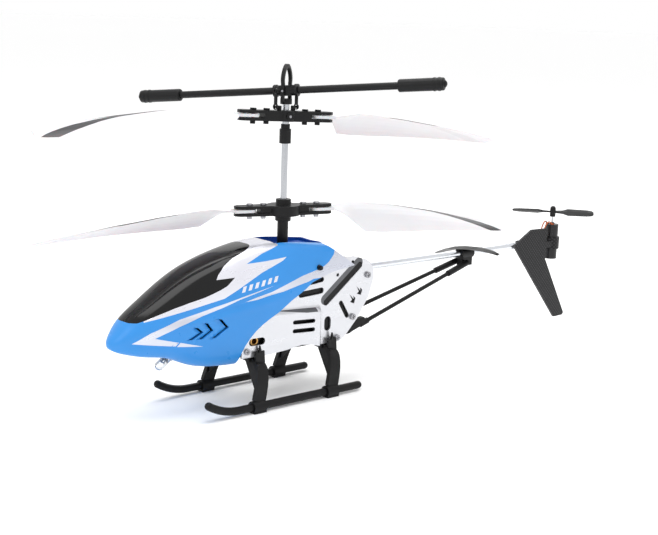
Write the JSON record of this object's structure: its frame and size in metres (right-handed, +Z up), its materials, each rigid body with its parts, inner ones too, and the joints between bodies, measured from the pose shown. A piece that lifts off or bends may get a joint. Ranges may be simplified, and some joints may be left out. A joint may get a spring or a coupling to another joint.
{
  "type": "remote control helicopter",
  "caption": "Coaxial remote control toy helicopter with a bullet-shaped canopy, flybar, skid landing gear, braced tail boom and a small upright tail rotor.",
  "frame": {"origin": "on the floor under the skids, at the centre of the overall box", "axes": "-Y to the nose, +Y along the boom to the tail, +X to port, +Z up along the rotor mast"},
  "size_m": [0.1066, 0.2674, 0.126],
  "materials": {
    "canopy_blue": "glossy",
    "windscreen_black": "glossy",
    "lamp_clear": "clear",
    "black_plastic": "satin",
    "leg_black": "matte",
    "white_metal": "satin",
    "screw_steel": "polished",
    "bolt_black": "satin",
    "brass_metal": "satin",
    "motor_steel": "satin",
    "battery_wrap": "satin",
    "board_green": "satin",
    "boom_aluminium": "polished",
    "fin_carbon": "carbon weave pattern",
    "tail_motor_black": "satin",
    "copper_wire": "bare wire",
    "gear_white": "satin",
    "shaft_steel": "polished",
    "blade_white": "satin, slightly translucent"
  },
  "bodies": {
    "airframe": {"canopy_shell": "canopy_blue", "windscreen": "windscreen_black", "headlight_lens": "lamp_clear", "headlight_holder": "black_plastic", "canopy_pegs": "black_plastic", "port_side_plate": "white_metal", "starboard_side_plate": "white_metal", "plate_screws": "screw_steel", "lower_deck": "black_plastic", "motor_deck": "black_plastic", "upper_deck": "black_plastic", "rear_frame": "black_plastic", "shaft_bushings": "brass_metal", "front_motor": "motor_steel", "rear_motor": "motor_steel", "battery": "battery_wrap", "circuit_board": "board_green", "charge_socket_housing": "black_plastic", "charge_socket_liner": "brass_metal", "switch_housing": "black_plastic", "port_front_leg": "leg_black", "port_rear_leg": "leg_black", "starboard_front_leg": "leg_black", "starboard_rear_leg": "leg_black", "port_skid_tube": "leg_black", "starboard_skid_tube": "leg_black", "tail_boom": "boom_aluminium", "port_brace": "leg_black", "starboard_brace": "leg_black", "stabiliser": "black_plastic", "tail_fin": "fin_carbon", "tail_motor": "tail_motor_black", "tail_motor_leads": "copper_wire"},
    "lower_rotor": {"outer_shaft": "black_plastic", "upper_main_gear": "gear_white", "lower_rotor_head": "black_plastic", "lower_head_bolts": "screw_steel"},
    "inner_mast": {"inner_shaft": "shaft_steel", "lower_main_gear": "gear_white", "shaft_collar": "black_plastic", "shaft_yoke": "black_plastic", "pivot_pins": "screw_steel"},
    "upper_head": {"upper_rotor_head": "black_plastic", "upper_head_bolts": "bolt_black"},
    "flybar": {"flybar_hub": "black_plastic", "flybar_rods": "black_plastic", "flybar_weights": "black_plastic"},
    "aft_link": {"aft_rotor_link": "black_plastic"},
    "forward_link": {"forward_rotor_link": "black_plastic"},
    "lower_aft_wing": {"lower_aft_blade": "blade_white"},
    "lower_forward_wing": {"lower_forward_blade": "blade_white"},
    "upper_aft_wing": {"upper_aft_blade": "blade_white"},
    "upper_forward_wing": {"upper_forward_blade": "blade_white"},
    "front_drive": {"front_pinion": "brass_metal", "front_motor_shaft": "shaft_steel"},
    "rear_drive": {"rear_pinion": "brass_metal", "rear_motor_shaft": "shaft_steel"},
    "tail_rotor": {"tail_propeller": "black_plastic", "tail_motor_shaft": "shaft_steel"},
    "power_switch": {"switch_slider": "black_plastic"}
  },
  "joints": [
    {"name": "lower_rotor_spin", "type": "hinge", "parent": "airframe", "child": "lower_rotor", "pos_m": [0, -0.0386, 0.0715], "axis": [0, 0, 1], "continuous": true},
    {"name": "upper_rotor_spin", "type": "hinge", "parent": "airframe", "child": "inner_mast", "pos_m": [0, -0.0386, 0.1068], "axis": [0, 0, 1], "continuous": true},
    {"name": "front_pinion_spin", "type": "hinge", "parent": "airframe", "child": "front_drive", "pos_m": [0, -0.0485, 0.036], "axis": [0, 0, 1], "continuous": true},
    {"name": "rear_pinion_spin", "type": "hinge", "parent": "airframe", "child": "rear_drive", "pos_m": [0, -0.0287, 0.0405], "axis": [0, 0, 1], "continuous": true},
    {"name": "flybar_tilt", "type": "hinge", "parent": "inner_mast", "child": "flybar", "pos_m": [0, -0.0386, 0.1162], "axis": [0.4985, -0.8669, 0], "range_deg": [-17, 7]},
    {"name": "upper_head_teeter", "type": "hinge", "parent": "inner_mast", "child": "upper_head", "pos_m": [0, -0.0386, 0.1068], "axis": [0.9816, -0.1908, 0], "range_deg": [-6.8, 2.8]},
    {"name": "aft_link_slide", "type": "slide", "parent": "inner_mast", "child": "aft_link", "axis": [0, 0, 1], "range_m": [-0.00064, 0.00027]},
    {"name": "forward_link_slide", "type": "slide", "parent": "inner_mast", "child": "forward_link", "axis": [0, 0, 1], "range_m": [-0.00027, 0.00064]},
    {"name": "lower_aft_blade_fold", "type": "hinge", "parent": "lower_rotor", "child": "lower_aft_wing", "pos_m": [0.00384, -0.02555, 0.0715], "axis": [0, 0, 1], "range_deg": [-80, 80]},
    {"name": "lower_forward_blade_fold", "type": "hinge", "parent": "lower_rotor", "child": "lower_forward_wing", "pos_m": [-0.00384, -0.05165, 0.0715], "axis": [0, 0, 1], "range_deg": [-80, 80]},
    {"name": "upper_aft_blade_fold", "type": "hinge", "parent": "upper_head", "child": "upper_aft_wing", "pos_m": [0.00259, -0.02526, 0.10633], "axis": [0.0067, 0.0343, 0.9994], "range_deg": [-80, 80]},
    {"name": "upper_forward_blade_fold", "type": "hinge", "parent": "upper_head", "child": "upper_forward_wing", "pos_m": [-0.00259, -0.05194, 0.10727], "axis": [0.0067, 0.0343, 0.9994], "range_deg": [-80, 80]},
    {"name": "tail_rotor_spin", "type": "hinge", "parent": "airframe", "child": "tail_rotor", "pos_m": [0, 0.1204, 0.0585], "axis": [0, 0, 1], "continuous": true},
    {"name": "power_switch_slide", "type": "slide", "parent": "airframe", "child": "power_switch", "axis": [0, 1, 0], "range_m": [0, 0.002]}
  ],
  "couplings": [
    {"joint": "front_pinion_spin", "follows": "upper_rotor_spin", "ratio": -4},
    {"joint": "rear_pinion_spin", "follows": "lower_rotor_spin", "ratio": -4},
    {"joint": "upper_head_teeter", "follows": "flybar_tilt", "ratio": 0.39448},
    {"joint": "aft_link_slide", "follows": "flybar_tilt", "m_per_rad": 0.0020887},
    {"joint": "forward_link_slide", "follows": "flybar_tilt", "m_per_rad": -0.0020887}
  ]
}
